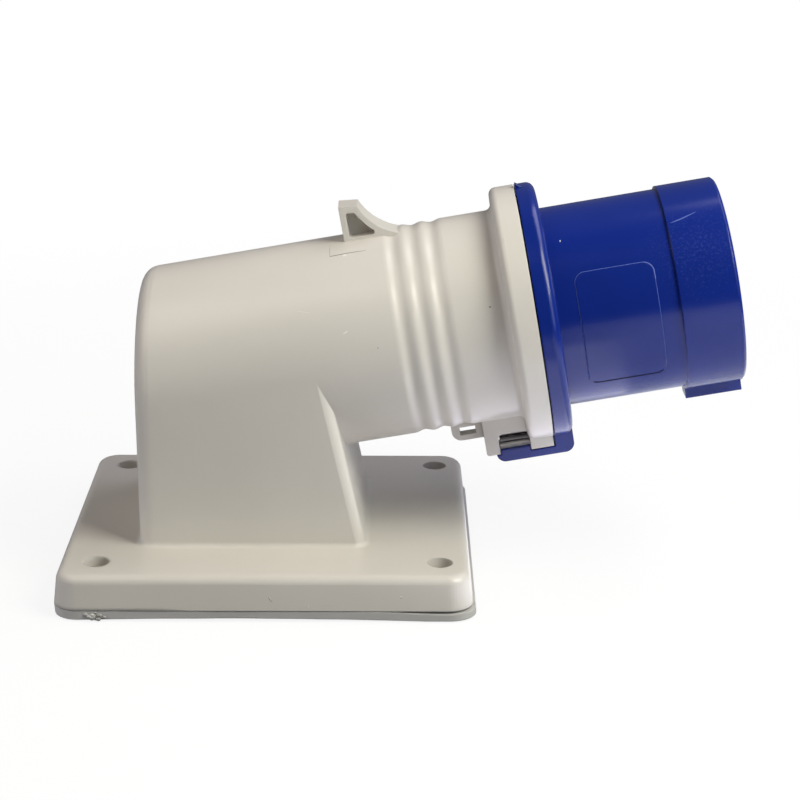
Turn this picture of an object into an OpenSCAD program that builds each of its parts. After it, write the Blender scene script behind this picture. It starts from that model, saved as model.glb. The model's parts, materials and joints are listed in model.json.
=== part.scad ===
// Angled surface-mount appliance inlet, 2P+E, 16 A: a grey moulded base with a hood and a tilted, fluted
// tube, a blue pin shroud closed onto the tube's flange by one screw, and the contact insert inside.
// The origin is the middle of the four fixing holes, on the mounting plane. X runs under the plug, Z is up.

/* [Mounting base] */
// Length of the base along the plug
base_length = 87.6; // [84:0.1:100]
// Width of the base across the plug
base_width = 77; // [74:0.1:90]
// Height of the base above its gasket
base_height = 7.2; // [6:0.1:10]
// Corner radius of the base in plan
base_corner = 5.5; // [4:0.1:7]
// Rounding of the base's top edge
base_edge = 2; // [0.5:0.1:2.5]
// How far the foot of the base stands out past its top, each side
base_draft = 0.6; // [0:0.1:1.2]
// How far the base sits behind the middle of its holes
base_setback = 0.8; // [0:0.1:1.5]
// Thickness of the base's top and rim
base_wall = 2.8; // [2:0.1:3.5]
// Mean distance of the fixing holes from the base's ends
hole_inset_x = 7.8; // [7:0.1:9]
// Distance of the fixing holes from the base's sides
hole_inset_y = 9; // [8:0.1:10]
// Diameter of the fixing holes
hole_d = 5.4; // [4:0.1:6]
// Diameter of the boss round each fixing hole
boss_d = 11; // [9:0.1:12]
// Thickness of the base gasket
gasket_thickness = 2.2; // [1:0.1:3]
// Width of the gasket's band round the base
gasket_band = 14.5; // [13:0.1:16]
// How far the gasket's edge lies inside the base's
gasket_inset = 0.1; // [0:0.1:0.5]

/* [Hood] */
// Thickness of the hood's walls
hood_wall = 2.6; // [2:0.1:3]
// Distance of the hood's rear wall behind the origin
hood_rear = 28; // [26:0.1:30]
// Distance of the front wall's foot ahead of the origin
hood_front = 20.3; // [18:0.1:23]
// Lean of the front wall, back towards the top
hood_front_lean = 12.5; // [8:0.5:15]
// Lean of the side walls, in towards the foot
hood_side_lean = 2.2; // [1:0.1:3]
// Rounding of the hood's rear edges
hood_rear_edge = 2.9; // [2:0.1:5]
// Rounding of the hood's front corners
hood_front_edge = 2.5; // [1.5:0.1:3]
// Hollow fillet round the hood's foot
hood_foot_fillet = 1.2; // [0.6:0.1:1.6]

/* [Tube] */
// Tilt of the plug's axis above the mounting plane
tilt = 10; // [8:0.5:12]
// Height of the plug's axis over the origin
axis_height = 46.2; // [44:0.1:50]
// Outer radius of the tube
tube_r = 22.5; // [22:0.1:24]
// How far the tube's outside sits above the plug's axis
tube_rise = 0.4; // [0:0.1:0.8]
// Thickness of the tube's wall
tube_wall = 2.3; // [2:0.1:2.6]
// Number of grip flutes round the tube
flute_count = 3; // [1:1:3]
// Distance from one flute to the next
flute_pitch = 4.2; // [3.5:0.05:4.3]
// Depth of the flutes
flute_depth = 0.45; // [0.2:0.05:0.8]
// Station of the first flute's middle along the axis
flute_start = 29.9; // [29.5:0.1:31]

/* [Flange] */
// Radius of the grey and blue flanges
flange_r = 27.45; // [27:0.05:29]
// Station of the grey flange's front face along the axis
flange_front = 57; // [56:0.1:60]
// Thickness of the grey flange
flange_t = 5.4; // [4.5:0.1:6]
// Rounding of the grey flange's rear edge
flange_edge = 1.5; // [0.5:0.1:2]
// Hollow fillet between the tube and the grey flange
flange_fillet = 1.4; // [0.5:0.1:1.6]
// Gap between the two flanges
flange_gap = 0.3; // [0.2:0.1:0.8]
// Distance of the seal inside the flanges' edge
seal_inset = 2.5; // [2:0.1:3]
// Width of the flange seal
seal_band = 2.5; // [2:0.1:2.6]
// Depth of the seal's groove in the grey flange
seal_groove = 1; // [0.6:0.1:1.5]

/* [Lid hook] */
// Station of the hook's rear face along the axis
hook_start = 19.8; // [18:0.1:21]
// Height of the hook's top above the axis
hook_top = 30.1; // [28:0.1:32]
// Length of the hook's flat top
hook_flat = 4; // [3:0.1:5]
// Fall of the hook's top towards the front
hook_fall = 0.4; // [0:0.1:0.8]
// Length of the hook at its foot
hook_length = 12.3; // [10.5:0.1:13]
// Radius of the hook's hollow front slope
hook_curve = 13; // [12:0.1:25]
// Thickness of the hook across the plug
hook_w = 7.1; // [5:0.1:9]
// Wall left round the hook's side pockets
hook_wall = 1.3; // [1:0.1:1.6]
// Thickness of the web between the side pockets
hook_web = 1.2; // [0.8:0.1:2]

/* [Shroud] */
// Outer radius of the shroud's sleeve
sleeve_r = 21.45; // [21:0.05:22]
// Thickness of the sleeve's wall
sleeve_wall = 2.55; // [2.2:0.05:3]
// Length of the shroud ahead of the grey flange's face
shroud_length = 42.2; // [40:0.1:46]
// How far the front band stands out from the sleeve
band_step = 0.6; // [0.3:0.05:1]
// Length of the shroud's front band
band_length = 12.4; // [10:0.1:14]
// Thickness of the blue flange
blue_flange_t = 4.1; // [3.5:0.1:4.5]
// Rounding of the blue flange's front edge
blue_edge = 1.8; // [0.5:0.1:2]
// Width of the polarising key under the front band
key_w = 6; // [4:0.1:8]
// Height of the key above the front band
key_h = 2.5; // [1.5:0.1:3]
// Setback of the key's ends from the band's ends
key_setback = 0.1; // [0.1:0.1:2]
// Thickness of the shroud's floor
floor_t = 3; // [2.5:0.1:4]
// Depth from the shroud's rim to its floor
shroud_depth = 36.7; // [35:0.1:38]
// Length of the spigot that enters the tube
spigot_length = 5.5; // [4:0.1:6]
// Thickness of the spigot's wall
spigot_wall = 1.6; // [1.2:0.1:1.8]
// Width of the index nib on top of the blue flange
nib_w = 1.6; // [1:0.1:3]
// Height of the index nib above the flange
nib_h = 0.9; // [0.5:0.1:1.5]
// Length of the index nib
nib_length = 1.4; // [1:0.1:2.5]

/* [Closing latch] */
// Width of the latch boss and tongue
latch_w = 10; // [9:0.1:12]
// Depth of the latch boss below the flange's edge
boss_drop = 2.3; // [2:0.1:2.6]
// Depth of the blue tongue below the boss
tongue_drop = 1.85; // [1.6:0.05:2.2]
// Thickness of the tongue's walls and floor
tongue_wall = 1.2; // [0.9:0.1:1.2]
// Height of the tongue's side walls
tongue_h = 2.7; // [2:0.1:3]
// Rounding of the tongue's lower corners
tongue_corner = 2; // [1:0.1:2.5]
// How far the tongue's end reaches under the leg
tongue_tuck = 0.9; // [0:0.1:1.2]
// Thickness of the boss leg that takes the screw's end
leg_t = 3; // [2.4:0.1:3.5]
// Rounding of the leg's lower rear corner
leg_corner = 0.6; // [0.2:0.1:1]
// Length of the window between the leg and the flange
window_length = 6.8; // [6:0.1:7]
// How far the window reaches under the flange
window_overlap = 0.4; // [0.2:0.1:0.8]
// Thickness of the boss between the tube and the window's roof
window_roof = 3.2; // [2.8:0.1:3.6]
// Corner radius of the window's roof
window_corner = 1; // [0.5:0.1:1.5]
// Thickness of the wall at the back of the window
window_back = 1.4; // [1:0.1:2]
// Length of the sealing eye behind the boss
eye_length = 6.9; // [6.5:0.1:8]
// Depth of the sealing eye below the tube
eye_h = 4.3; // [4:0.1:5]
// Thickness of the sealing eye across the plug
eye_w = 3; // [2.4:0.1:4]
// Length of the hole in the sealing eye
eye_hole_length = 3.5; // [2.5:0.1:3.6]
// Height of the hole in the sealing eye
eye_hole_h = 1.8; // [1.2:0.1:2]
// Wall left below the eye's hole
eye_wall = 1.2; // [1:0.1:1.5]
// Wall left behind the eye's hole
eye_end = 1.8; // [1.4:0.1:2.2]
// Diameter of the closing screw
closing_d = 2.4; // [2:0.1:2.8]
// Diameter of the closing screw's head
closing_head_d = 4.2; // [3.8:0.1:4.4]
// Diameter of the closing screw's plain point
closing_point_d = 1.2; // [1:0.1:1.4]
// Depth that the point enters the boss leg
point_depth = 1.8; // [1:0.1:2]
// Gap between the closing screw and the tongue's floor
screw_lift = 0.4; // [0.2:0.1:0.6]

/* [Contacts] */
// Distance of the pins' middles inside the carrier's edge
pin_inset = 7.2; // [7:0.1:7.6]
// Diameter of the earth pin
earth_d = 7; // [6:0.1:7.4]
// Diameter of the line and neutral pins
line_d = 5; // [4:0.1:5.5]
// Length of the pins ahead of the shroud's floor
pin_length = 30; // [26:0.5:33]
// How much wider each pin is where it passes the floor
root_step = 0.8; // [0.4:0.1:1]
// Thickness of the collar behind the floor
collar_t = 2; // [1.5:0.1:2.5]
// How much wider the collar is than its pin
collar_step = 2.4; // [2:0.1:2.6]
// Width of the terminal box behind each pin
terminal_w = 8; // [7.6:0.1:8.2]
// Length of the terminal box
terminal_length = 11; // [10:0.1:12]
// Wall of the terminal box
terminal_wall = 1.1; // [0.9:0.1:1.3]
// Diameter of the terminal screws
terminal_screw_d = 3.5; // [3:0.1:4]
// Diameter of the terminal screws' heads
terminal_head_d = 5.6; // [5:0.1:6]
// Thickness of the clamp plates
clamp_t = 1.2; // [1:0.1:1.5]
// Thickness of the rear terminal cover
cover_t = 2.4; // [2:0.1:3]
// Diameter of the carrier screws
carrier_screw_d = 3; // [2.5:0.1:3]
// Length of the solid end behind each terminal's tunnel
tunnel_end = 2.5; // [2:0.1:3]
// Gap between a terminal box and its screw's head
terminal_head_gap = 1.2; // [0.5:0.1:1.2]

/* [Hidden] */
$fn = 96;
eps = 0.01;
// Clearance between pieces that slide together
clearance = 0.2;
// Clearance round a screw in the piece that it is driven into
thread_gap = 0.05;
// Size of the solids that trim others
reach = 100;
// How far a cut reaches past what it cuts
over = 1;
// How far a piece that grows out of another reaches into it
sink = 2;
// Share of a corner's radius that its centre is set in, so that the cut crosses the walls
corner_share = 0.985;
// How far the hood's side walls lie inside the tube's side, and the rounded rear inside the side walls
wall_step = 0.015;

base_top = gasket_thickness + base_height;
base_x = -base_setback;
hole_spacing_x = base_length - 2 * hole_inset_x;
hole_spacing_y = base_width - 2 * hole_inset_y;

// Middle of the tube's outside, over the origin
tube_axis_height = axis_height + tube_rise / cos(tilt);

// Radii about the plug's axis
bore_r = tube_r - tube_wall;
spigot_r = bore_r - clearance;
carrier_r = spigot_r - spigot_wall - clearance;
pin_circle_r = carrier_r - pin_inset;
carrier_screw_r = pin_circle_r;
sleeve_bore_r = sleeve_r - sleeve_wall;
band_r = sleeve_r + band_step;
seal_r = flange_r - seal_inset;

// Depths below the plug's axis
tube_foot = tube_r - tube_rise;
window_v = tube_foot + window_roof;
eye_v = tube_foot + eye_h;
latch_boss_v = flange_r + boss_drop;
tongue_v = latch_boss_v + tongue_drop;
latch_screw_v = tongue_v - tongue_wall - screw_lift - closing_d / 2;

// Stations along the plug's axis
blue_rear = flange_front + flange_gap;
blue_front = blue_rear + blue_flange_t;
rim = flange_front + shroud_length;
band_start = rim - band_length;
floor_front = rim - shroud_depth;
floor_rear = floor_front - floor_t;
collar_rear = floor_rear - collar_t;
terminal_rear = collar_rear - terminal_length;
cover_front = terminal_rear - clearance;
flange_rear = flange_front - flange_t;
window_front = flange_rear + window_overlap;
leg_front = window_front - window_length;
leg_rear = leg_front - leg_t;

// The three contacts stand evenly round the axis, earth lowest, with a carrier screw between each two
earth_turn = 0;
line_turn = 120;
neutral_turn = 240;
contact_turns = [earth_turn, line_turn, neutral_turn];
screw_turns = [60, 180, 300];
carrier_head_d = 5;
carrier_head_t = 1.6;
carrier_pilot = 2;
pilot_gap = 0.3;

tunnel_w = terminal_w - 2 * terminal_wall;
tunnel_length = terminal_length - tunnel_end;
terminal_screw_at = terminal_rear + tunnel_length / 2;
terminal_head_t = 2;
slot_w = 0.9;
slot_depth = 1;
wire_d = 4.4;

closing_head_t = 2;
// Share of a screw head's diameter that its cross recess takes
recess_share = 0.6;
// Height of the hook's side pockets above the tube
pocket_lift = 0.3;
// Steps from the top of the hood's arch to each side wall
arch_steps = 24;
// Steps along one flute's wave
wave_steps = 14;

grey = "#cdc7bb";
blue = "#1b2c84";
rubber = "#8f8d8a";
dark_rubber = "#2c2c2e";
insulator = "#3a3c40";
brass = "#c9a24a";
steel = "#b9bcc0";

// Places children on the plug's axis: local z points forward, local x points down
module axial(station = 0) {
    translate([0, 0, axis_height])
        rotate([0, 90 - tilt, 0])
            translate([0, 0, station])
                children();
}

// Extrudes an outline drawn as (station, height above the axis) across the plug
module across(width) {
    translate([0, 0, axis_height])
        rotate([90, -tilt, 0])
            linear_extrude(height = width, center = true)
                children();
}

// Places children at a contact: local x points outward, local z forward
module at_turn(turn, radius) {
    axial()
        rotate([0, 0, turn])
            translate([radius, 0, 0])
                children();
}

function pin_d(turn) = turn == earth_turn ? earth_d : line_d;

module at_fixing_holes() {
    for (sx = [-1, 1], sy = [-1, 1])
        translate([sx * hole_spacing_x / 2, sy * hole_spacing_y / 2, 0])
            children();
}

// Solid through a row of loops that have as many points each, clockwise as seen from before the first
module loft(loops) {
    count = len(loops[0]);
    rows = len(loops);
    first_cap = [for (j = [0:count - 1]) j];
    last_cap = [for (j = [count - 1:-1:0]) (rows - 1) * count + j];
    skin = [
        for (k = [0:rows - 2], j = [0:count - 1], half = [0, 1])
            let (a = k * count + j, b = k * count + (j + 1) % count)
            half == 0 ? [a, a + count, b + count] : [a, b + count, b]
    ];
    polyhedron([for (loop = loops, p = loop) p], concat([first_cap, last_cap], skin));
}

module rounded_plate(length, width, corner, height) {
    linear_extrude(height = height) {
        square([length - 2 * corner, width], center = true);
        square([length, width - 2 * corner], center = true);
        for (sx = [-1, 1], sy = [-1, 1])
            translate([sx * (length / 2 - corner), sy * (width / 2 - corner)])
                circle(r = corner);
    }
}

// Base plate

// Section of a base corner: drafted side and rounded top edge
module base_corner_section() {
    top_r = base_corner - base_draft - base_edge;
    arc = [for (a = [0:15:90]) [top_r + base_edge * cos(a), base_height - base_edge + base_edge * sin(a)]];
    polygon(concat([[0, 0], [base_corner, 0]], arc, [[0, base_height]]));
}

module base_block() {
    hull()
        for (sx = [-1, 1], sy = [-1, 1])
            translate([
                base_x + sx * (base_length / 2 - base_corner),
                sy * (base_width / 2 - base_corner),
                gasket_thickness
            ])
                rotate_extrude($fn = 48)
                    base_corner_section();
}

module base_pocket() {
    rim_inset = 2 * (base_wall + base_draft);
    translate([base_x, 0, -eps])
        rounded_plate(
            base_length - rim_inset,
            base_width - rim_inset,
            base_corner - base_wall,
            base_top - base_wall + eps
        );
}

module hole_bosses() {
    at_fixing_holes()
        translate([0, 0, gasket_thickness])
            cylinder(d = boss_d, h = base_height - base_wall / 2);
}

module base_plate() {
    difference() {
        base_block();
        base_pocket();
    }
    intersection() {
        base_block();
        hole_bosses();
    }
}

// Hood

// Upright outline between the rear and front walls, set in by a wall, extruded across the plug
module between_walls(rear_set, front_set, low) {
    high = reach;
    front_foot = hood_front - front_set / cos(hood_front_lean);
    lean = tan(hood_front_lean);
    rotate([90, 0, 0])
        linear_extrude(height = reach, center = true)
            polygon([
                [rear_set - hood_rear, low],
                [front_foot - (low - base_top) * lean, low],
                [front_foot - (high - base_top) * lean, high],
                [rear_set - hood_rear, high]
            ]);
}

// Point of the side wall's outline that lies a given distance down from where it leaves the tube
function side_point(radius, down) = [
    radius * sin(hood_side_lean) + down * cos(hood_side_lean) - tube_rise,
    radius * cos(hood_side_lean) - down * sin(hood_side_lean)
];

// Half width of the hood at a given X and height above the base
function side_y(x, height) =
    let (
        depth = (tube_axis_height + x * tan(tilt) - base_top - height) * cos(tilt),
        down = (depth - tube_r * sin(hood_side_lean)) / cos(hood_side_lean)
    )
    side_point(tube_r, down)[1];

// The two side walls' outline under the tube, swept along the axis
module side_walls(radius) {
    high = side_point(radius - wall_step, 0);
    low = side_point(radius - wall_step, 2 * axis_height);
    axial(-reach / 2)
        linear_extrude(height = reach)
            polygon([high, low, [low[0], -low[1]], [high[0], -high[1]]]);
}

// Cuts the rounding of one front corner, along the edge where the side and front walls meet
module front_corner_cut(side) {
    inset = corner_share * hood_front_edge;
    block = inset + sink;
    translate([hood_front, side * side_y(hood_front, 0), base_top])
        rotate([-side * hood_side_lean, -hood_front_lean, 0])
            translate([-inset, -side * inset, -sink])
                linear_extrude(height = axis_height)
                    difference() {
                        translate([0, side > 0 ? 0 : -block])
                            square(block);
                        circle(r = hood_front_edge);
                    }
}

// Upright section of the hood's rear at a given X, set in from the walls: the arch, then the two feet
function rear_loop(x, inset) =
    let (
        radius = tube_r - 2 * wall_step - inset,
        middle = tube_axis_height + x * tan(tilt),
        last = 90 + hood_side_lean,
        turn_step = last / arch_steps,
        low = base_top - base_wall / 3,
        side_high = middle - radius * sin(hood_side_lean) / cos(tilt),
        high_y = radius * cos(hood_side_lean),
        foot_y = high_y - (side_high - low) * cos(tilt) * tan(hood_side_lean)
    )
    concat(
        [
            for (i = [-arch_steps:arch_steps])
                [x, radius * sin(i * turn_step), middle + radius * cos(i * turn_step) / cos(tilt)]
        ],
        [[x, foot_y, low], [x, -foot_y, low]]
    );

// Rounded rear of the hood: sections that shrink round the edge of the rear wall
module rear_round() {
    overlap = 4;
    arc_step = 11.25;
    edge = hood_rear_edge;
    front_x = edge - hood_rear;
    arc = [for (a = [0:arc_step:90]) rear_loop(front_x - edge * sin(a), edge * (1 - cos(a)))];
    loft(concat([rear_loop(front_x + overlap, 0)], arc));
}

function corner_arc(centre, radius, from, z) =
    [for (a = [0:15:90]) [centre[0] + radius * cos(from + a), centre[1] + radius * sin(from + a), z]];

// One level outline round the hood's foot, at a height above the base and a distance out from the walls
function foot_loop(height, out) =
    let (
        front_r = hood_front_edge + out,
        rear_r = hood_rear_edge + out,
        front_x = hood_front - height * tan(hood_front_lean) + out - front_r,
        rear_x = rear_r - hood_rear - out,
        front_y = side_y(hood_front, height) + out - front_r,
        rear_y = side_y(-hood_rear, height) + out - rear_r,
        z = base_top + height
    )
    concat(
        corner_arc([front_x, -front_y], front_r, -90, z),
        corner_arc([front_x, front_y], front_r, 0, z),
        corner_arc([rear_x, rear_y], rear_r, 90, z),
        corner_arc([rear_x, -rear_y], rear_r, 180, z)
    );

// Hollow fillet from the base up to the hood's walls; its ends lie just inside both
module foot_fillet() {
    arc_step = 18;
    inside = 4 * wall_step;
    r = hood_foot_fillet;
    arc = [for (a = [0:arc_step:90]) foot_loop(r * (1 - cos(a)) - wall_step, r * (1 - sin(a)) - inside)];
    loft(concat([foot_loop(-base_wall / 2, r - inside)], arc));
}

module hood_walls() {
    difference() {
        intersection() {
            side_walls(tube_r);
            between_walls(hood_rear_edge, 0, base_top - base_wall / 2);
        }
        for (side = [-1, 1])
            front_corner_cut(side);
    }
    rear_round();
}

// Space inside the hood, open at the base
module hood_space() {
    intersection() {
        side_walls(tube_r - hood_wall);
        between_walls(hood_wall, hood_wall, -eps);
    }
    intersection() {
        axial(-reach / 2)
            cylinder(r = bore_r, h = reach / 2 + flange_rear);
        translate([hood_wall - hood_rear, -reach / 2, 0])
            cube([2 * reach, reach, reach]);
    }
}

// Tube and flange

// What the flutes take off the tube, as (radius, station): a wave that starts and ends on a crest
module flute_section() {
    steps = flute_count * wave_steps;
    crest = tube_r - wall_step;
    length = flute_count * flute_pitch;
    wave = [
        for (i = [0:steps])
            [crest - flute_depth * (1 - cos(360 * i / wave_steps)) / 2, length * i / steps]
    ];
    polygon(concat(wave, [[tube_r + over, length], [tube_r + over, 0]]));
}

module flutes() {
    axial(flute_start - flute_pitch / 2)
        translate([-tube_rise, 0, 0])
            rotate_extrude()
                flute_section();
}

module tube() {
    difference() {
        intersection() {
            axial(-reach / 2)
                translate([-tube_rise, 0, 0])
                    cylinder(r = tube_r, h = reach / 2 + flange_front - flange_t / 2);
            translate([hood_rear_edge - hood_rear, -reach / 2, 0])
                cube([2 * reach, reach, 2 * reach]);
        }
        flutes();
    }
}

// Section of the grey flange, with its rounded rear edge
module flange_section() {
    flat_r = flange_r - flange_edge;
    square([flat_r, flange_t]);
    translate([0, flange_edge])
        square([flange_r, flange_t - flange_edge]);
    translate([flat_r, flange_edge])
        circle(r = flange_edge);
}

// Section of the hollow fillet that runs from the tube up to the flange's rear face
module fillet_section() {
    top_r = tube_r - wall_step + flange_fillet;
    difference() {
        translate([0, -flange_fillet])
            square([top_r, 2 * flange_fillet]);
        translate([top_r, -flange_fillet])
            circle(r = flange_fillet);
    }
}

module grey_flange() {
    axial(flange_rear)
        rotate_extrude()
            flange_section();
    axial(flange_rear)
        translate([-tube_rise, 0, 0])
            rotate_extrude()
                fillet_section();
}

// Lid hook

// Side view of the hook: its top falls a little forward, and a hollow curve runs from there to its foot
module hook_outline(foot) {
    flat_end = [hook_start + hook_flat, hook_top - hook_fall];
    foot_end = [hook_start + hook_length, tube_r + tube_rise - flute_depth];
    middle = (flat_end + foot_end) / 2;
    span = foot_end - flat_end;
    away = sqrt(pow(hook_curve, 2) - pow(norm(span) / 2, 2));
    centre = middle + away * [-span[1], span[0]] / norm(span);
    difference() {
        polygon([
            [hook_start, foot], [hook_start, hook_top],
            [foot_end[0], hook_top - hook_fall * hook_length / hook_flat], [foot_end[0], foot]
        ]);
        translate(centre)
            circle(r = hook_curve);
    }
}

module hook() {
    root = tube_r - over;
    pocket_root = tube_r + tube_rise + pocket_lift;
    pocket_round = 0.6;
    pocket_depth = (hook_w - hook_web) / 2;
    difference() {
        across(hook_w)
            hook_outline(root);
        for (side = [-1, 1])
            translate([0, side * (hook_web + pocket_depth) / 2, 0])
                across(pocket_depth + eps)
                    offset(r = pocket_round, $fn = 24)
                        offset(delta = -hook_wall - pocket_round)
                            hook_outline(pocket_root - hook_wall);
    }
}

// Closing latch under the flange

module window_outline() {
    translate([leg_front, -latch_boss_v - over])
        square([window_length, latch_boss_v + over - window_v - window_corner]);
    translate([leg_front + window_corner, -latch_boss_v])
        square([window_length - 2 * window_corner, latch_boss_v - window_v]);
    for (x = [leg_front + window_corner, window_front - window_corner])
        translate([x, -window_v - window_corner])
            circle(r = window_corner);
}

module boss_outline() {
    height = latch_boss_v - tube_r + sink;
    translate([leg_rear + leg_corner, -latch_boss_v])
        square([flange_front - leg_rear - leg_corner, height]);
    translate([leg_rear, leg_corner - latch_boss_v])
        square([leg_t, height - leg_corner]);
    translate([leg_rear + leg_corner, leg_corner - latch_boss_v])
        circle(r = leg_corner);
}

// Boss with a window that opens on the near side, and a full-width way for the tongue's walls below it
module latch_boss() {
    tongue_way = tongue_v - tongue_h - clearance;
    difference() {
        across(latch_w)
            boss_outline();
        translate([0, -window_back, 0])
            across(latch_w)
                window_outline();
        across(latch_w + over)
            translate([leg_front, -latch_boss_v - over])
                square([window_length, latch_boss_v + over - tongue_way]);
    }
}

module sealing_eye() {
    round_r = eye_h / 2;
    rear = leg_rear - eye_length;
    across(eye_w)
        difference() {
            union() {
                translate([rear + round_r, -eye_v])
                    square([eye_length - round_r + eps, eye_h + sink]);
                translate([rear + round_r, round_r - eye_v])
                    circle(r = round_r);
                translate([rear, round_r - eye_v])
                    square([round_r, round_r + sink]);
            }
            translate([rear + eye_end, eye_wall - eye_v])
                square([eye_hole_length, eye_hole_h]);
        }
}

module closing_screw_hole(diameter, from, to) {
    axial(from)
        translate([latch_screw_v, 0, 0])
            cylinder(d = diameter, h = to - from);
}

// Slot in the flange's tab that the closing screw swings up into
module closing_screw_slot() {
    slot = closing_d + 2 * clearance;
    closing_screw_hole(slot, window_front - over, flange_front + over);
    across(slot)
        translate([window_front - over, -latch_boss_v - over])
            square([flange_front - window_front + 2 * over, latch_boss_v + over - latch_screw_v]);
}

module housing() {
    color(grey)
        difference() {
            union() {
                base_plate();
                hood_walls();
                foot_fillet();
                tube();
                grey_flange();
                hook();
                latch_boss();
                sealing_eye();
            }
            hood_space();
            axial(flange_rear - 2 * eps)
                cylinder(r = bore_r, h = flange_t + over);
            axial(flange_front - seal_groove)
                rotate_extrude()
                    translate([seal_r - seal_band - clearance / 2, 0])
                        square([seal_band + clearance, seal_groove + over]);
            at_fixing_holes()
                cylinder(d = hole_d, h = base_top + over);
            closing_screw_slot();
            closing_screw_hole(
                closing_point_d + 2 * thread_gap,
                leg_front - point_depth - clearance,
                leg_front + over
            );
        }
}

// Plate of the base's outline, set in by a distance, through the gasket's thickness
module gasket_plate(inset, height) {
    rounded_plate(base_length - 2 * inset, base_width - 2 * inset, base_corner, height);
}

module base_gasket() {
    color(rubber)
        difference() {
            translate([base_x, 0, 0])
                gasket_plate(gasket_inset, gasket_thickness);
            translate([base_x, 0, -over])
                gasket_plate(gasket_band, gasket_thickness + 2 * over);
            at_fixing_holes()
                translate([0, 0, -over])
                    cylinder(d = hole_d, h = gasket_thickness + 2 * over);
        }
}

// Shroud

module shroud_section() {
    tip_edge = 0.5;
    body_r = flange_r - blue_edge;
    translate([0, blue_rear - spigot_length])
        square([spigot_r, spigot_length + eps]);
    translate([0, blue_rear])
        square([body_r, blue_flange_t]);
    translate([0, blue_rear])
        square([flange_r, blue_flange_t - blue_edge]);
    translate([body_r, blue_front - blue_edge])
        circle(r = blue_edge);
    translate([0, blue_front - eps])
        square([sleeve_r, band_start - blue_front + 2 * eps]);
    polygon([
        [0, band_start], [band_r, band_start],
        [band_r, rim - tip_edge], [band_r - tip_edge, rim], [0, rim]
    ]);
}

// Tongue and lug under the blue flange, outlined from the side, with room for the leg and the grey tab
module tongue_outline() {
    rear = leg_front - tongue_tuck;
    length = blue_front - rear;
    lug_low = tongue_v - tongue_h / 2 - tongue_corner / 2;
    difference() {
        union() {
            intersection() {
                union() {
                    translate([rear, tongue_corner - tongue_v])
                        square([length, tongue_h]);
                    translate([rear + tongue_corner, -tongue_v])
                        square([length - 2 * tongue_corner, tongue_h]);
                    for (x = [rear + tongue_corner, blue_front - tongue_corner])
                        translate([x, tongue_corner - tongue_v])
                            circle(r = tongue_corner);
                }
                translate([rear - over, -tongue_v - over])
                    square([length + 2 * over, tongue_h + over]);
            }
            translate([blue_rear, -lug_low])
                square([blue_flange_t, lug_low - sleeve_r]);
        }
        translate([rear - over, -latch_boss_v - clearance])
            square([tongue_tuck + clearance + over, tongue_h]);
        translate([window_front - clearance, -latch_boss_v - clearance])
            square([blue_rear - window_front + clearance, latch_boss_v]);
    }
}

module tongue() {
    rear = leg_front - tongue_tuck - over;
    difference() {
        across(latch_w)
            tongue_outline();
        across(latch_w - 2 * tongue_wall)
            translate([rear, tongue_wall - tongue_v])
                square([blue_rear - rear, tongue_h]);
    }
}

module key() {
    axial(band_start + key_setback)
        translate([sleeve_r, -key_w / 2, 0])
            cube([band_step + key_h, key_w, band_length - 2 * key_setback]);
}

module index_nib() {
    across(nib_w)
        polygon([
            [blue_rear, flange_r - over], [blue_rear, flange_r + nib_h],
            [blue_rear + nib_length, flange_r], [blue_rear + nib_length, flange_r - over]
        ]);
}

module shroud() {
    color(blue)
        difference() {
            union() {
                axial()
                    rotate_extrude()
                        shroud_section();
                tongue();
                key();
                index_nib();
            }
            axial(floor_front)
                cylinder(r = sleeve_bore_r, h = shroud_depth + over);
            axial(blue_rear - spigot_length - over)
                cylinder(r = carrier_r + clearance, h = floor_rear - blue_rear + spigot_length + over);
            for (turn = contact_turns)
                at_turn(turn, pin_circle_r)
                    translate([0, 0, floor_rear - over])
                        cylinder(d = pin_d(turn) + root_step + clearance, h = floor_t + 2 * over);
            for (turn = screw_turns)
                at_turn(turn, carrier_screw_r)
                    translate([0, 0, floor_rear - over])
                        cylinder(d = carrier_screw_d + 2 * thread_gap, h = carrier_pilot + over);
            closing_screw_hole(closing_d + 2 * clearance, blue_rear - over, blue_front + over);
            closing_screw_hole(
                closing_head_d + 2 * clearance,
                blue_front - closing_head_t,
                blue_front + over
            );
        }
}

module flange_seal() {
    color(dark_rubber)
        axial(flange_front - seal_groove)
            rotate_extrude()
                translate([seal_r - seal_band, 0])
                    square([seal_band, seal_groove + flange_gap]);
}

// Screws

// Cross recess of a screw head, cut down from z = 0
module cross_recess(diameter, depth) {
    for (turn = [0, 90])
        rotate([0, 0, turn])
            translate([-diameter / 2, -diameter / 8, -depth])
                cube([diameter, diameter / 4, depth + over]);
}

module closing_screw() {
    head_seat = blue_front - closing_head_t;
    color(steel)
        axial()
            translate([latch_screw_v, 0, 0])
                difference() {
                    union() {
                        translate([0, 0, leg_front - point_depth])
                            cylinder(d = closing_point_d, h = point_depth + over);
                        translate([0, 0, leg_front + clearance])
                            cylinder(d = closing_d, h = head_seat - leg_front);
                        translate([0, 0, head_seat])
                            cylinder(d = closing_head_d, h = closing_head_t - clearance);
                    }
                    translate([0, 0, blue_front - clearance])
                        cross_recess(closing_head_d * recess_share, closing_head_t / 2);
                }
}

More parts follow.
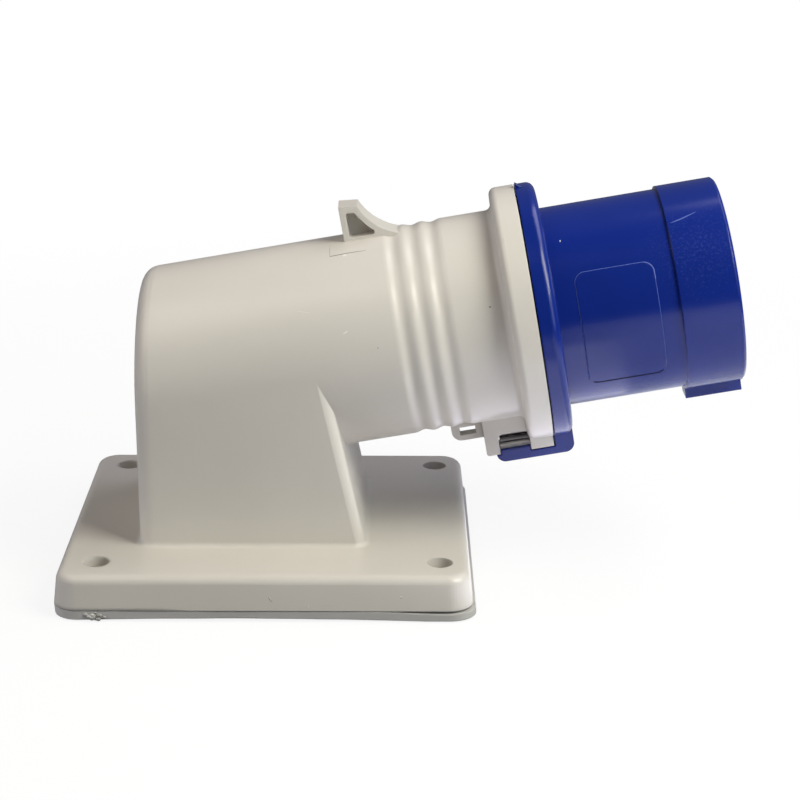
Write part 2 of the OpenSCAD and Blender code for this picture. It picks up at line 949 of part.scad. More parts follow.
module terminal_screws() {
    head_seat = terminal_w / 2 + terminal_head_gap;
    slot_floor = head_seat + terminal_head_t - slot_depth;
    color(steel)
        for (turn = contact_turns)
            at_turn(turn, pin_circle_r)
                translate([0, 0, terminal_screw_at])
                    rotate([0, 90, 0])
                        difference() {
                            union() {
                                translate([0, 0, tunnel_w / 2])
                                    cylinder(d = terminal_screw_d, h = head_seat - tunnel_w / 2 + eps);
                                translate([0, 0, head_seat])
                                    cylinder(d = terminal_head_d, h = terminal_head_t);
                            }
                            translate([-terminal_head_d, -slot_w / 2, slot_floor])
                                cube([2 * terminal_head_d, slot_w, slot_depth + over]);
                        }
}

module carrier_screws() {
    head_rear = cover_front - cover_t - carrier_head_t;
    shank = floor_rear + carrier_pilot - pilot_gap - cover_front + cover_t;
    color(steel)
        for (turn = screw_turns)
            at_turn(turn, carrier_screw_r)
                difference() {
                    union() {
                        translate([0, 0, head_rear + carrier_head_t - eps])
                            cylinder(d = carrier_screw_d, h = shank);
                        translate([0, 0, head_rear])
                            cylinder(d = carrier_head_d, h = carrier_head_t);
                    }
                    translate([0, 0, head_rear])
                        mirror([0, 0, 1])
                            cross_recess(carrier_head_d * recess_share, carrier_head_t / 2);
                }
}

// Contact insert

module contact_carrier() {
    length = floor_rear - terminal_rear;
    room = terminal_w + 2 * clearance;
    color(insulator)
        difference() {
            axial(terminal_rear)
                cylinder(r = carrier_r, h = length);
            for (turn = contact_turns)
                at_turn(turn, pin_circle_r) {
                    translate([-room / 2, -room / 2, terminal_rear - over])
                        cube([carrier_r, room, terminal_length + over]);
                    translate([0, 0, collar_rear - eps])
                        cylinder(d = pin_d(turn) + collar_step + 2 * clearance, h = collar_t + over);
                }
            for (turn = screw_turns)
                at_turn(turn, carrier_screw_r)
                    translate([0, 0, terminal_rear - over])
                        cylinder(d = carrier_screw_d + 2 * clearance, h = length + 2 * over);
        }
}

module terminal_cover() {
    color(insulator)
        difference() {
            axial(cover_front - cover_t)
                cylinder(r = carrier_r, h = cover_t + clearance);
            for (turn = contact_turns)
                at_turn(turn, pin_circle_r)
                    translate([0, 0, cover_front - cover_t - over])
                        cylinder(d = wire_d, h = cover_t + 2 * over);
            for (turn = screw_turns)
                at_turn(turn, carrier_screw_r)
                    translate([0, 0, cover_front - cover_t - over])
                        cylinder(d = carrier_screw_d + 2 * clearance, h = cover_t + 2 * over);
        }
}

module contact(turn) {
    diameter = pin_d(turn);
    tip = diameter / 5;
    color(brass)
        at_turn(turn, pin_circle_r)
            difference() {
                union() {
                    translate([0, 0, floor_rear - eps])
                        cylinder(d = diameter + root_step, h = floor_t + eps);
                    translate([0, 0, floor_front - eps])
                        cylinder(d = diameter, h = pin_length - tip + eps);
                    translate([0, 0, floor_front + pin_length - tip])
                        cylinder(d1 = diameter, d2 = diameter - 2 * tip, h = tip);
                    translate([0, 0, collar_rear - eps])
                        cylinder(d = diameter + collar_step, h = collar_t + eps);
                    translate([-terminal_w / 2, -terminal_w / 2, terminal_rear])
                        cube([terminal_w, terminal_w, terminal_length]);
                }
                translate([-tunnel_w / 2, -tunnel_w / 2, terminal_rear - over])
                    cube([tunnel_w, tunnel_w, tunnel_length + over]);
                translate([0, 0, terminal_screw_at])
                    rotate([0, 90, 0])
                        cylinder(d = terminal_screw_d + 2 * thread_gap, h = terminal_w);
            }
}

module clamp(turn) {
    color(steel)
        at_turn(turn, pin_circle_r)
            translate([tunnel_w / 2 - clamp_t, clearance - tunnel_w / 2, terminal_rear + clearance])
                cube([clamp_t, tunnel_w - 2 * clearance, tunnel_length - 2 * clearance]);
}

module earth_contact() {
    contact(earth_turn);
}

module line_contact() {
    contact(line_turn);
}

module neutral_contact() {
    contact(neutral_turn);
}

module earth_clamp() {
    clamp(earth_turn);
}

module line_clamp() {
    clamp(line_turn);
}

module neutral_clamp() {
    clamp(neutral_turn);
}

housing();
base_gasket();
shroud();
flange_seal();
closing_screw();
contact_carrier();
terminal_cover();
earth_contact();
line_contact();
neutral_contact();
earth_clamp();
line_clamp();
neutral_clamp();
terminal_screws();
carrier_screws();
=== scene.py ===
import json
import math

import bmesh
import bpy
from mathutils import Matrix, Vector
from mathutils import noise as waves


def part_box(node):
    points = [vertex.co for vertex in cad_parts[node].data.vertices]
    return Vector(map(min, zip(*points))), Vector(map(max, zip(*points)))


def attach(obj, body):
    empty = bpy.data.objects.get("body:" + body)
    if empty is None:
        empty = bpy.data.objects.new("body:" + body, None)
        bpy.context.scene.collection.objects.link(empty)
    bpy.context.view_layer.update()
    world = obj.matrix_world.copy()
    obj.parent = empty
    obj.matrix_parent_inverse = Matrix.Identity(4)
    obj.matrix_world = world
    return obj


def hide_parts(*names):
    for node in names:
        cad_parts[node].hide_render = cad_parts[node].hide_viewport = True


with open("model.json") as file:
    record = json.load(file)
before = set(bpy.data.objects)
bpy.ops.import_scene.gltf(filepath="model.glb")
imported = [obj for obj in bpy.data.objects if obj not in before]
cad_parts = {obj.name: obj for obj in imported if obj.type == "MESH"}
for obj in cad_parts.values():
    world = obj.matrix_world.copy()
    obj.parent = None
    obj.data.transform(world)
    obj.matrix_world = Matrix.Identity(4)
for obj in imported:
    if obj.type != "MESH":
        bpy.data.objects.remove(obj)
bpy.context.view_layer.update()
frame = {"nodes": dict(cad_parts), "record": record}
nodes = frame["nodes"]
scene = bpy.context.scene
scene.view_settings.view_transform = "Standard"

MM = 0.001
TILT = math.radians(10)
AXIS_HEIGHT = 46.2


def on_axis(t, v, y):
    """A point by its station along the plug's axis, its height above the axis and its Y, all in mm."""
    x = t * math.cos(TILT) - v * math.sin(TILT)
    z = AXIS_HEIGHT + t * math.sin(TILT) + v * math.cos(TILT)
    return Vector((x, y, z)) * MM


# Materials, with lengths in metres and colours in linear light

BLACK = (0, 0, 0)
WHITE = (1, 1, 1)
BEVEL_SAMPLES = 4
GRAIN_DETAIL = 3
GRAIN_STRENGTH = 0.5
HOOD_EDGE, HOOD_REAR_EDGE = 0.0003, 0.0011
HOOD_REAR_START, HOOD_REAR_END = -0.016, -0.022
MOTTLE_LOW, MOTTLE_HIGH = 0.3, 0.7
DUST_SCALE, DUST_DETAIL, DUST_ROUGHNESS = 2000, 5, 0.65
DUST_SPECKS = [(0.52, BLACK), (0.68, WHITE)]
DUST_COLOUR = (0.03, 0.05, 0.26)
DUST_MIDDLE = on_axis(93, 13, -18)
DUST_REACH = 0.014
PLASTIC_IOR = 1.5
PLASTIC_DETAIL = 4
MARK_EDGE, MARK_PATCH = 0.0001, 1500
METAL_PATCH, METAL_DETAIL = 300, 3
METAL_EDGE, METAL_GRAIN, METAL_HEIGHT = 0.00015, 1500, 0.000008


def new_material(name):
    m = bpy.data.materials.new(name)
    m.use_nodes = True
    tree = m.node_tree
    return m, tree, tree.nodes["Principled BSDF"]


def noise(tree, scale, detail=2.0, roughness=0.5):
    where = tree.nodes.new("ShaderNodeTexCoord")
    n = tree.nodes.new("ShaderNodeTexNoise")
    n.inputs["Scale"].default_value = scale
    n.inputs["Detail"].default_value = detail
    n.inputs["Roughness"].default_value = roughness
    tree.links.new(where.outputs["Object"], n.inputs["Vector"])
    return n.outputs["Fac"]


def ramp(tree, factor, stops):
    r = tree.nodes.new("ShaderNodeValToRGB")
    while len(r.color_ramp.elements) < len(stops):
        r.color_ramp.elements.new(0.5)
    for element, (at, colour) in zip(r.color_ramp.elements, stops):
        element.position = at
        element.color = (*colour, 1)
    tree.links.new(factor, r.inputs["Fac"])
    return r.outputs["Color"]


def mottled(tree, patch, detail, low, high):
    """A colour that wanders between two close ones."""
    return ramp(tree, noise(tree, patch, detail), [(MOTTLE_LOW, low), (MOTTLE_HIGH, high)])


def soft_edges(tree, radius, fine_scale, fine_height):
    """A normal that rounds sharp edges a little and carries the moulding's fine grain."""
    bevel = tree.nodes.new("ShaderNodeBevel")
    bevel.samples = BEVEL_SAMPLES
    if callable(radius):
        tree.links.new(radius(tree), bevel.inputs["Radius"])
    else:
        bevel.inputs["Radius"].default_value = radius
    bump = tree.nodes.new("ShaderNodeBump")
    bump.inputs["Strength"].default_value = GRAIN_STRENGTH
    bump.inputs["Distance"].default_value = fine_height
    tree.links.new(noise(tree, fine_scale, GRAIN_DETAIL), bump.inputs["Height"])
    tree.links.new(bevel.outputs["Normal"], bump.inputs["Normal"])
    return bump.outputs["Normal"]


def rounder_rear(tree):
    """A rounding of edges that grows towards the hood's rear, where the solid's facets would show."""
    where = tree.nodes.new("ShaderNodeTexCoord")
    split = tree.nodes.new("ShaderNodeSeparateXYZ")
    tree.links.new(where.outputs["Object"], split.inputs["Vector"])
    grow = tree.nodes.new("ShaderNodeMapRange")
    grow.inputs["From Min"].default_value = HOOD_REAR_START
    grow.inputs["From Max"].default_value = HOOD_REAR_END
    grow.inputs["To Min"].default_value = HOOD_EDGE
    grow.inputs["To Max"].default_value = HOOD_REAR_EDGE
    tree.links.new(split.outputs["X"], grow.inputs["Value"])
    return grow.outputs["Result"]


def dusted(tree, colour):
    """The colour with pale specks of dust that thin out away from one place."""
    where = tree.nodes.new("ShaderNodeTexCoord")
    distance = tree.nodes.new("ShaderNodeVectorMath")
    distance.operation = "DISTANCE"
    tree.links.new(where.outputs["Object"], distance.inputs[0])
    distance.inputs[1].default_value = DUST_MIDDLE
    near = ramp(tree, distance.outputs["Value"], [(0.0, WHITE), (DUST_REACH, BLACK)])
    specks = ramp(tree, noise(tree, DUST_SCALE, DUST_DETAIL, DUST_ROUGHNESS), DUST_SPECKS)
    share = tree.nodes.new("ShaderNodeMath")
    share.operation = "MULTIPLY"
    tree.links.new(near, share.inputs[0])
    tree.links.new(specks, share.inputs[1])
    mix = tree.nodes.new("ShaderNodeMixRGB")
    tree.links.new(share.outputs["Value"], mix.inputs["Fac"])
    tree.links.new(colour, mix.inputs["Color1"])
    mix.inputs["Color2"].default_value = (*DUST_COLOUR, 1)
    return mix.outputs["Color"]


def plastic(name, low, high, roughness, edge, grain=2400, height=0.00001, patch=38, gloss=0.5, dust=False):
    m, tree, shader = new_material(name)
    colour = mottled(tree, patch, PLASTIC_DETAIL, low, high)
    if dust:
        colour = dusted(tree, colour)
    tree.links.new(colour, shader.inputs["Base Color"])
    shader.inputs["Roughness"].default_value = roughness
    shader.inputs["IOR"].default_value = PLASTIC_IOR
    shader.inputs["Specular IOR Level"].default_value = gloss
    tree.links.new(soft_edges(tree, edge, grain, height), shader.inputs["Normal"])
    return m


def mark_paint(name, low, high, roughness, gloss=0.5):
    return plastic(name, low, high, roughness, MARK_EDGE, patch=MARK_PATCH, gloss=gloss)


def metal(name, low, high, roughness):
    m, tree, shader = new_material(name)
    tree.links.new(mottled(tree, METAL_PATCH, METAL_DETAIL, low, high), shader.inputs["Base Color"])
    shader.inputs["Metallic"].default_value = 1
    shader.inputs["Roughness"].default_value = roughness
    normal = soft_edges(tree, METAL_EDGE, METAL_GRAIN, METAL_HEIGHT)
    tree.links.new(normal, shader.inputs["Normal"])
    return m


grey = plastic("grey_plastic", (0.65, 0.62, 0.572), (0.68, 0.65, 0.60), roughness=0.28, edge=rounder_rear)
blue = plastic(
    "blue_plastic", (0.005, 0.019, 0.19), (0.006, 0.022, 0.22), roughness=0.2, edge=0.0004,
    grain=1500, height=0.00002, gloss=0.42, dust=True,
)
gasket = plastic(
    "gasket_rubber", (0.52, 0.51, 0.495), (0.60, 0.59, 0.57), roughness=0.75, edge=0.0003,
    grain=900, height=0.00006,
)
foam = plastic(
    "torn_foam", (0.44, 0.43, 0.415), (0.62, 0.61, 0.59), roughness=0.9, edge=0.0002,
    grain=1800, height=0.00008, patch=900,
)
# Pale paint: painted highlights by the witness line, the nick and the dent and on the latch strip, and the
# real colour of pale flecks, lines and specks
pale = mark_paint("pale_mark", (0.76, 0.73, 0.68), (0.86, 0.83, 0.78), roughness=0.5)
# Dark paint: painted shade in the witness line, the nick and the dent, and the real colour of dark specks
shade_and_specks = mark_paint("dark_mark", (0.20, 0.18, 0.155), (0.30, 0.275, 0.24), roughness=0.5)
# Light blue paint: the real colour of a scuff on the band, and painted highlights along the pad's edge
scuff_and_highlight = mark_paint("blue_scuff_and_highlight", (0.05, 0.09, 0.36), (0.10, 0.15, 0.46), roughness=0.4)
# Dark blue paint: painted shade along the pad's lower edge
crease_shade = mark_paint("blue_crease_shade", (0.001, 0.003, 0.03), (0.002, 0.005, 0.04), roughness=0.6, gloss=0.08)
black = plastic("seal_rubber", (0.014, 0.014, 0.016), (0.02, 0.02, 0.022), roughness=0.6, edge=0.0002)
dark = plastic("insulator", (0.03, 0.033, 0.04), (0.04, 0.043, 0.05), roughness=0.5, edge=0.0003)
brass = metal("brass", (0.66, 0.47, 0.19), (0.74, 0.55, 0.25), roughness=0.28)
steel = metal("steel", (0.52, 0.52, 0.54), (0.60, 0.60, 0.62), roughness=0.26)

FINISH = {
    "housing": grey, "base_gasket": gasket, "shroud": blue, "flange_seal": black, "closing_screw": steel,
    "contact_carrier": dark, "terminal_cover": dark, "earth_contact": brass, "line_contact": brass,
    "neutral_contact": brass, "earth_clamp": steel, "line_clamp": steel, "neutral_clamp": steel,
    "terminal_screws": steel, "carrier_screws": steel,
}
for node, material in FINISH.items():
    slots = nodes[node].data.materials
    slots.clear()
    slots.append(material)

# Pieces and marks that the solids lack, with lengths in mm

SHARP_EDGE = math.radians(20)


def add_piece(name, mesh, material):
    piece = bpy.data.objects.new(name, mesh)
    scene.collection.objects.link(piece)
    mesh.materials.append(material)
    mesh.shade_smooth()
    mesh.set_sharp_from_angle(angle=SHARP_EDGE)
    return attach(piece, "root")


def mesh_from(bm, name):
    bmesh.ops.recalc_face_normals(bm, faces=bm.faces[:])
    mesh = bpy.data.meshes.new(name)
    bm.to_mesh(mesh)
    bm.free()
    return mesh


def fill_strip(bm, pairs):
    """Faces between neighbouring pairs of corners."""
    for (a, b), (c, d) in zip(pairs, pairs[1:]):
        bm.faces.new((a, b, d, c))


def eased(value, start, end):
    """0 before start, 1 after end, and a smooth way between."""
    share = min(max((value - start) / (end - start), 0), 1)
    return share * share * (3 - 2 * share)


# Gasket: soft foam that arches up under the middle, spreads to the right and droops at the front right corner

GASKET_BAND = 14.4
GASKET_CORNER = 5.4
GASKET_PITCH = 2.5
CORNER_STEPS = 8
HOLE_STEPS = 32
FRONT_START, FRONT_END = -10, 30
RIPPLE = 0.06
RIPPLE_SCALE = 0.12
RIPPLE_LAYER = 3.7
HEM = 0.12
DROOP = 0.5
DROOP_START, DROOP_END = 22, 36
ARCH = 0.42
ARCH_REAR_SHARE = 0.4
ARCH_MIDDLE, ARCH_HALF = -4, 37
UNDERSIDE = 0.06
SPREAD = 0.7
SPREAD_START, SPREAD_END = 30, 43
BULGE = 0.25
BULGE_START, BULGE_END = 10, 40


def rounded_loop(x0, x1, y0, y1):
    """Points round a rectangle with rounded corners, close enough together to bend."""
    points = []
    corner = GASKET_CORNER
    corners = ((x1, y1, -1, -1, 0), (x0, y1, 1, -1, 90), (x0, y0, 1, 1, 180), (x1, y0, -1, 1, 270))
    for x, y, sx, sy, start in corners:
        for step in range(CORNER_STEPS + 1):
            a = math.radians(start + 90 * step / CORNER_STEPS)
            along = x + sx * corner + corner * math.cos(a)
            across = y + sy * corner + corner * math.sin(a)
            points.append(Vector((along, across)))
    dense = []
    for here, there in zip(points, points[1:] + points[:1]):
        steps = max(1, round((there - here).length / GASKET_PITCH))
        dense += [here.lerp(there, i / steps) for i in range(steps)]
    return dense


def circle_loop(x, y, r):
    turns = (2 * math.pi * i / HOLE_STEPS for i in range(HOLE_STEPS))
    return [Vector((x + r * math.cos(a), y + r * math.sin(a))) for a in turns]


def bent(point, top, on_rim):
    """Where a corner of the flat gasket goes, in metres."""
    x, y = point
    front = eased(-y, FRONT_START, FRONT_END)
    ripple = RIPPLE * waves.noise(Vector((x * RIPPLE_SCALE, y * RIPPLE_SCALE, RIPPLE_LAYER)))
    droop = DROOP * front * eased(x, DROOP_START, DROOP_END)
    if top:
        z = thickness - droop - (HEM if on_rim else 0)
    else:
        rise = ARCH * (ARCH_REAR_SHARE + (1 - ARCH_REAR_SHARE) * front)
        z = rise * max(0, 1 - ((x - ARCH_MIDDLE) / ARCH_HALF) ** 2) + ripple + UNDERSIDE
    if on_rim:
        x += SPREAD * eased(x, SPREAD_START, SPREAD_END) - HEM * (1 if top else 0)
        y += ripple - BULGE * front * eased(x, BULGE_START, BULGE_END)
    return Vector((x, y, z)) * MM


def place_of(corner):
    """A corner's X and Y, rounded so that they can be looked up."""
    return round(corner.x, 3), round(corner.y, 3)


low_corner, high_corner = (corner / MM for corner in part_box("base_gasket"))
thickness = high_corner.z - low_corner.z
mounts = {m["name"]: m for m in frame["record"]["mounts"]}
pattern = mounts["fixing_holes"]["dims"]
outer = (low_corner.x, high_corner.x, low_corner.y, high_corner.y)
inner = (outer[0] + GASKET_BAND, outer[1] - GASKET_BAND, outer[2] + GASKET_BAND, outer[3] - GASKET_BAND)
loops = [rounded_loop(*outer), rounded_loop(*inner)]
for sx in (-1, 1):
    for sy in (-1, 1):
        middle = (sx * pattern["spacing_x_mm"] / 2, sy * pattern["spacing_y_mm"] / 2)
        loops.append(circle_loop(*middle, pattern["hole_r_mm"]))
rim = {place_of(p) for p in loops[0]}
bm = bmesh.new()
edges = []
for loop in loops:
    corners = [bm.verts.new((p.x, p.y, 0)) for p in loop]
    edges += [bm.edges.new(pair) for pair in zip(corners, corners[1:] + corners[:1])]
bmesh.ops.triangle_fill(bm, use_beauty=True, edges=edges)
raised = bmesh.ops.extrude_face_region(bm, geom=bm.faces[:])["geom"]
tops = {v for v in raised if isinstance(v, bmesh.types.BMVert)}
for v in bm.verts:
    v.co = bent(v.co.xy, v in tops, place_of(v.co) in rim)
soft_gasket = add_piece("soft_gasket", mesh_from(bm, "soft_gasket"), gasket)
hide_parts("base_gasket")

# Crumbs of torn foam on the gasket's front edge, by X, Z and size

CRUMBS = (
    (-36.1, 0.9, 0.8), (-35.0, 0.35, 0.5), (-34.5, 1.15, 0.42),
    (-37.4, 1.3, 0.36), (-33.5, 0.75, 0.28), (-35.3, 1.75, 0.24),
)
CRUMB_STRETCH = (1.2, 0.7, 0.8)
CRUMB_SWELL = 0.55
CRUMB_SCALE = 1.7
CRUMB_LAYER = 7
CRUMB_STAND = 0.1

for number, (x, z, size) in enumerate(CRUMBS):
    bm = bmesh.new()
    bmesh.ops.create_icosphere(bm, subdivisions=3, radius=1)
    for v in bm.verts:
        layer = Vector((CRUMB_LAYER * number, 0, 0))
        swell = 1 + CRUMB_SWELL * waves.noise(v.co * CRUMB_SCALE + layer)
        stretched = Vector([c * s for c, s in zip(v.co, CRUMB_STRETCH)])
        v.co = stretched * swell * size * MM
        v.co += Vector((x, outer[2] - CRUMB_STAND, z)) * MM
    add_piece(f"crumb_{number}", mesh_from(bm, f"crumb_{number}"), foam)

# Pale strip that shows in the latch window, on the floor of the blue tongue behind its near wall; it is paler
# than the grey plastic as a painted highlight for the bright glimpse there

STRIP_ENDS = (45.35, 51.9)
STRIP_HEIGHTS = (-30.4, -28.05)
STRIP_DEPTHS = (-3.75, -2.7)

bm = bmesh.new()
for t in STRIP_ENDS:
    for v in STRIP_HEIGHTS:
        for y in STRIP_DEPTHS:
            bm.verts.new(on_axis(t, v, y))
bmesh.ops.convex_hull(bm, input=bm.verts[:])
add_piece("latch_strip", mesh_from(bm, "latch_strip"), pale)

# Pad of a mould insert, just proud of the sleeve's near side

SLEEVE_R = 21.45
PAD_START, PAD_END = 66.1, 82.4
PAD_LOW, PAD_HIGH = math.radians(-37), math.radians(32.5)
PAD_CORNER = 2.2
PAD_RISE = 0.13
PAD_SLOPE = 0.17
PAD_SINK = 0.065
PAD_LEVELS = 48


def on_sleeve(t, arc, r):
    """A point by its station, its way round from the near side in mm of the sleeve, and its radius."""
    a = arc / SLEEVE_R
    return on_axis(t, r * math.sin(a), -r * math.cos(a))


def pad_outline(grow):
    """The ends of each level of the pad, from its lower edge to its upper edge."""
    low, high = PAD_LOW * SLEEVE_R - grow, PAD_HIGH * SLEEVE_R + grow
    corner = PAD_CORNER + grow
    for i in range(PAD_LEVELS + 1):
        arc = low + (high - low) * (1 - math.cos(math.pi * i / PAD_LEVELS)) / 2
        into = max(0, corner - min(arc - low, high - arc))
        inset = corner - math.sqrt(max(0, corner ** 2 - into ** 2))
        yield arc, PAD_START - grow + inset, PAD_END + grow - inset


def pad_rim(grow, r):
    """Points round the pad, up its right side and down its left."""
    levels = list(pad_outline(grow))
    up_right = [on_sleeve(end, arc, r) for arc, _, end in levels]
    down_left = [on_sleeve(start, arc, r) for arc, start, _ in reversed(levels)]
    return up_right + down_left


bm = bmesh.new()
crest = [bm.verts.new(p) for p in pad_rim(0, SLEEVE_R + PAD_RISE)]
foot = [bm.verts.new(p) for p in pad_rim(PAD_SLOPE, SLEEVE_R - PAD_SINK)]
for ring in (crest, foot):
    for i in range(PAD_LEVELS):
        bm.faces.new((ring[-1 - i], ring[i], ring[i + 1], ring[-2 - i]))
for i in range(-1, len(crest) - 1):
    bm.faces.new((crest[i], foot[i], foot[i + 1], crest[i + 1]))
add_piece("insert_pad", mesh_from(bm, "insert_pad"), blue)

# Painted highlights and painted shade along the pad's edge: first and last point round it, and reach from its
# crest, down the slope or, below 0, over the pad

MARK_LIFT = 0.012
PAD_HIGHLIGHT_AND_SHADE = {
    "pad_highlight_right": (scuff_and_highlight, 9, 36, 0.08),
    "pad_highlight_corner": (scuff_and_highlight, 36, 50, 0.17),
    "pad_highlight_left": (scuff_and_highlight, 50, 88, 0.16),
    # Painted shade along the pad's lower edge
    "pad_crease_shade": (crease_shade, -5, 5, -0.42),
}


def pad_strip(first, last, reach):
    """A thin strip over a stretch of the pad's edge."""
    slope_rise = PAD_RISE - reach / PAD_SLOPE * (PAD_RISE + PAD_SINK)
    far_rise = min(PAD_RISE, max(0, slope_rise))
    near = pad_rim(0, SLEEVE_R + PAD_RISE + MARK_LIFT)
    far = pad_rim(reach, SLEEVE_R + far_rise + MARK_LIFT)
    bm = bmesh.new()
    pairs = [(bm.verts.new(near[i]), bm.verts.new(far[i])) for i in range(first, last + 1)]
    fill_strip(bm, pairs)
    return bm


for name, (material, first, last, reach) in PAD_HIGHLIGHT_AND_SHADE.items():
    add_piece(name, mesh_from(pad_strip(first, last, reach), name), material)

# Thin marks, by width and by X and Z from the front: painted shade in a line of the mould, a nick and a dent,
# painted highlights beside them, and pale lines, flecks, a scuff and specks

MARKS = {
    # The witness line is painted shade in the mould line's groove; the witness glint is a painted highlight
    # beside it
    "witness_line_shade": ("housing", shade_and_specks, 0.09, ((12.5, 71.45), (12.62, 70.0), (16.5, 70.75), (20.4, 71.4))),
    "witness_glint": ("housing", pale, 0.3, ((15.3, 70.3), (16.2, 70.5))),
    "faint_line": ("housing", pale, 0.07, ((6.0, 60.9), (9.0, 60.6))),
    "pale_fleck": ("housing", pale, 0.35, ((15.6, 56.85), (16.6, 57.45))),
    "speck_left": ("housing", shade_and_specks, 0.25, ((22.75, 54.1), (22.95, 54.25))),
    "speck_right": ("housing", shade_and_specks, 0.3, ((45.6, 62.7), (46.1, 62.75))),
    # The nick is painted shade with a painted highlight on its edge; the dent is a painted highlight with its
    # painted shade below
    "base_nick_shade": ("housing", shade_and_specks, 0.12, ((0.4, 5.2), (0.75, 4.6), (1.3, 4.1))),
    "base_nick_glint": ("housing", pale, 0.15, ((0.6, 5.3), (1.0, 4.7))),
    "base_dent_highlight": ("housing", pale, 0.3, ((27.5, 5.5), (28.1, 5.3))),
    "base_dent_shade": ("housing", shade_and_specks, 0.12, ((27.6, 5.15), (28.0, 5.05))),
    "base_tick": ("housing", pale, 0.15, ((8.7, 3.0), (8.8, 3.7))),
    "band_scuff": ("shroud", scuff_and_highlight, 0.16, ((83.2, 78.7), (85.5, 79.5), (88.6, 80.75))),
    "sleeve_speck": ("shroud", pale, 0.25, ((60.45, 74.5), (60.7, 74.65))),
}
MARK_STEPS = 6
MARK_TIP = 0.2
MARK_FRONT = -60


def on_front(node, x, z):
    """The point and normal of a solid's surface seen from the front at X and Z."""
    start = Vector((x, MARK_FRONT, z)) * MM
    hit, place, normal, _ = nodes[node].ray_cast(start, Vector((0, 1, 0)))
    if not hit:
        raise ValueError(f"no surface of {node} at {x}, {z}")
    return place, normal


def ribbon(name, node, width, path):
    """A thin strip that follows a solid's surface along a path and tapers at both ends."""
    steps = [
        Vector(a).lerp(Vector(b), i / MARK_STEPS)
        for a, b in zip(path, path[1:])
        for i in range(MARK_STEPS + (b == path[-1]))
    ]
    bm = bmesh.new()
    pairs = []
    for i, point in enumerate(steps):
        way = steps[min(i + 1, len(steps) - 1)] - steps[max(i - 1, 0)]
        side = Vector((-way.y, way.x)).normalized()
        from_middle = 2 * i / (len(steps) - 1) - 1
        half = width / 2 * max(MARK_TIP, math.sqrt(max(0, 1 - from_middle ** 2)))
        pair = []
        for edge in (point - side * half, point + side * half):
            place, normal = on_front(node, *edge)
            pair.append(bm.verts.new(place + normal * MARK_LIFT * MM))
        pairs.append(pair)
    fill_strip(bm, pairs)
    return mesh_from(bm, name)


for name, (node, material, width, path) in MARKS.items():
    add_piece(name, ribbon(name, node, width, path), material)

# Floor, backdrop and light, with lengths in metres and strengths in watts

FLOOR_Z = -0.0003
FLOOR_R = 0.4
FLOOR_SIDES = 128
FLOOR_ROUGHNESS = 0.9
# The floor's colour for bounced light by its X: painted shade on the left, painted light on the right
FLOOR_BOUNCE = [(0.55, (0.16, 0.165, 0.18)), (0.63, (0.90, 0.92, 0.96))]
FLOOR_SHADOW = [(0.0, (0.14,) * 3), (0.3, (0.1,) * 3), (0.75, BLACK)]
SKY_FILL = 0.13
SKY_BY_DEPTH = [(0.0, (0.05, 0.052, 0.054)), (0.6, (1.0, 1.05, 1.07))]
LAMP_AIM = Vector((0.03, 0, 0.04))
LAMP_DISTANCE = 0.5
CARD_AIM = Vector((0.066, -0.04, 0.05))
CARD_DISTANCE = 0.049


def floor_material():
    """White to the eye with a faint shadow. Its colour for bounced light is painted shade on the left and
    painted light on the right, so it throws less light back on the left.
    """
    m, tree, bounce = new_material("floor")
    where = tree.nodes.new("ShaderNodeTexCoord")
    across = tree.nodes.new("ShaderNodeSeparateXYZ")
    tree.links.new(where.outputs["Generated"], across.inputs["Vector"])
    tree.links.new(ramp(tree, across.outputs["X"], FLOOR_BOUNCE), bounce.inputs["Base Color"])
    bounce.inputs["Roughness"].default_value = FLOOR_ROUGHNESS
    lit = tree.nodes.new("ShaderNodeBsdfDiffuse")
    lit.inputs["Color"].default_value = (*WHITE, 1)
    glow = tree.nodes.new("ShaderNodeEmission")
    glow.inputs["Color"].default_value = (*WHITE, 1)
    distance = tree.nodes.new("ShaderNodeVectorMath")
    distance.operation = "LENGTH"
    tree.links.new(where.outputs["Object"], distance.inputs[0])
    share = tree.nodes.new("ShaderNodeMath")
    share.operation = "DIVIDE"
    tree.links.new(distance.outputs["Value"], share.inputs[0])
    share.inputs[1].default_value = FLOOR_R
    seen = tree.nodes.new("ShaderNodeMixShader")
    tree.links.new(ramp(tree, share.outputs["Value"], FLOOR_SHADOW), seen.inputs["Fac"])
    tree.links.new(glow.outputs["Emission"], seen.inputs[1])
    tree.links.new(lit.outputs["BSDF"], seen.inputs[2])
    mix = tree.nodes.new("ShaderNodeMixShader")
    path = tree.nodes.new("ShaderNodeLightPath")
    tree.links.new(path.outputs["Is Camera Ray"], mix.inputs["Fac"])
    tree.links.new(bounce.outputs["BSDF"], mix.inputs[1])
    tree.links.new(seen.outputs["Shader"], mix.inputs[2])
    tree.links.new(mix.outputs["Shader"], tree.nodes["Material Output"].inputs["Surface"])
    return m


def studio_world():
    """A fill that is bright behind the object and dark on the camera's side, and white for the camera."""
    world = bpy.data.worlds.new("studio")
    world.use_nodes = True
    sky = world.node_tree
    direction = sky.nodes.new("ShaderNodeTexCoord")
    split = sky.nodes.new("ShaderNodeSeparateXYZ")
    sky.links.new(direction.outputs["Generated"], split.inputs["Vector"])
    fill = sky.nodes["Background"]
    sky.links.new(ramp(sky, split.outputs["Y"], SKY_BY_DEPTH), fill.inputs["Color"])
    fill.inputs["Strength"].default_value = SKY_FILL
    white = sky.nodes.new("ShaderNodeBackground")
    white.inputs["Color"].default_value = (*WHITE, 1)
    path = sky.nodes.new("ShaderNodeLightPath")
    pick = sky.nodes.new("ShaderNodeMixShader")
    sky.links.new(path.outputs["Is Camera Ray"], pick.inputs["Fac"])
    sky.links.new(fill.outputs["Background"], pick.inputs[1])
    sky.links.new(white.outputs["Background"], pick.inputs[2])
    sky.links.new(pick.outputs["Shader"], sky.nodes["World Output"].inputs["Surface"])
    return world


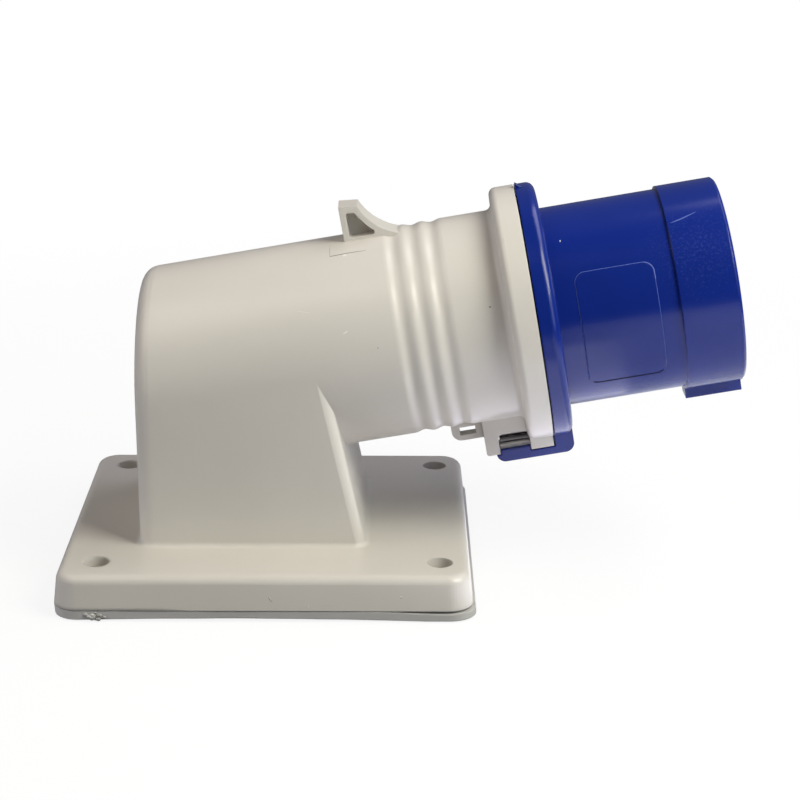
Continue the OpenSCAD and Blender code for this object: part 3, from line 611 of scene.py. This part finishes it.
def soft_box(name, azimuth, elevation, width, height, energy, colour, aim=LAMP_AIM, distance=LAMP_DISTANCE):
    """A lamp placed round its aim, by its angles to the right of the camera's side and above the floor."""
    a, e = math.radians(azimuth), math.radians(elevation)
    away = Vector((math.sin(a) * math.cos(e), -math.cos(a) * math.cos(e), math.sin(e)))
    data = bpy.data.lights.new(name, "AREA")
    data.shape = "RECTANGLE"
    data.size = width
    data.size_y = height
    data.energy = energy
    data.color = colour
    lamp = bpy.data.objects.new(name, data)
    scene.collection.objects.link(lamp)
    lamp.location = aim + distance * away
    lamp.rotation_mode = "QUATERNION"
    lamp.rotation_quaternion = (-away).to_track_quat("-Z", "Y")
    lamp.visible_camera = False
    return lamp


bpy.ops.mesh.primitive_circle_add(
    vertices=FLOOR_SIDES, radius=FLOOR_R, fill_type="NGON", location=(0, 0, FLOOR_Z)
)
floor = bpy.context.object
floor.name = "floor"
floor.data.materials.append(floor_material())
scene.world = studio_world()

# Each lamp: angles right and up, width, height, strength and colour

soft_box("key", 57, 45, 0.26, 0.3, 2.2, (1.0, 0.99, 0.86))
soft_box("low", 50, 20, 0.26, 0.26, 0.42, (0.78, 0.86, 1.0))
soft_box("rear", 120, 60, 0.3, 0.3, 0.92, (0.9, 0.88, 1.0))
soft_box("side", -60, 50, 0.36, 0.36, 0.67, (1.0, 0.9, 0.84))
left = soft_box("left", -75, -2.6, 0.24, 0.03, 0.68, (0.92, 0.94, 1.0))
left.visible_glossy = False
soft_box("card", 90, -90, 0.04, 0.14, 0.023, (0.87, 0.85, 1.0), CARD_AIM, CARD_DISTANCE)

# Camera, fitted to the photograph's holes, edges and rims, with its place in mm

YAW, PITCH, ROLL = (math.radians(a) for a in (0.3544, 18.380, 0.3208))
CAMERA_PLACE = Vector((24.915, -431.841, 178.999))
FOCAL_PIXELS = 2076.0
PHOTO_PIXELS = 800
SENSOR_WIDTH = 36

forward = Vector((math.sin(YAW) * math.cos(PITCH), math.cos(YAW) * math.cos(PITCH), -math.sin(PITCH)))
right = Vector((math.cos(YAW), -math.sin(YAW), 0))
up = right.cross(forward)
turned_right = right * math.cos(ROLL) + up * math.sin(ROLL)
turned_up = up * math.cos(ROLL) - right * math.sin(ROLL)
facing = Matrix((turned_right, turned_up, -forward)).transposed()
lens = bpy.data.cameras.new("camera")
lens.sensor_width = SENSOR_WIDTH
lens.lens = SENSOR_WIDTH * FOCAL_PIXELS / PHOTO_PIXELS
camera = bpy.data.objects.new("camera", lens)
scene.collection.objects.link(camera)
camera.matrix_world = Matrix.Translation(CAMERA_PLACE * MM) @ facing.to_4x4()
scene.camera = camera
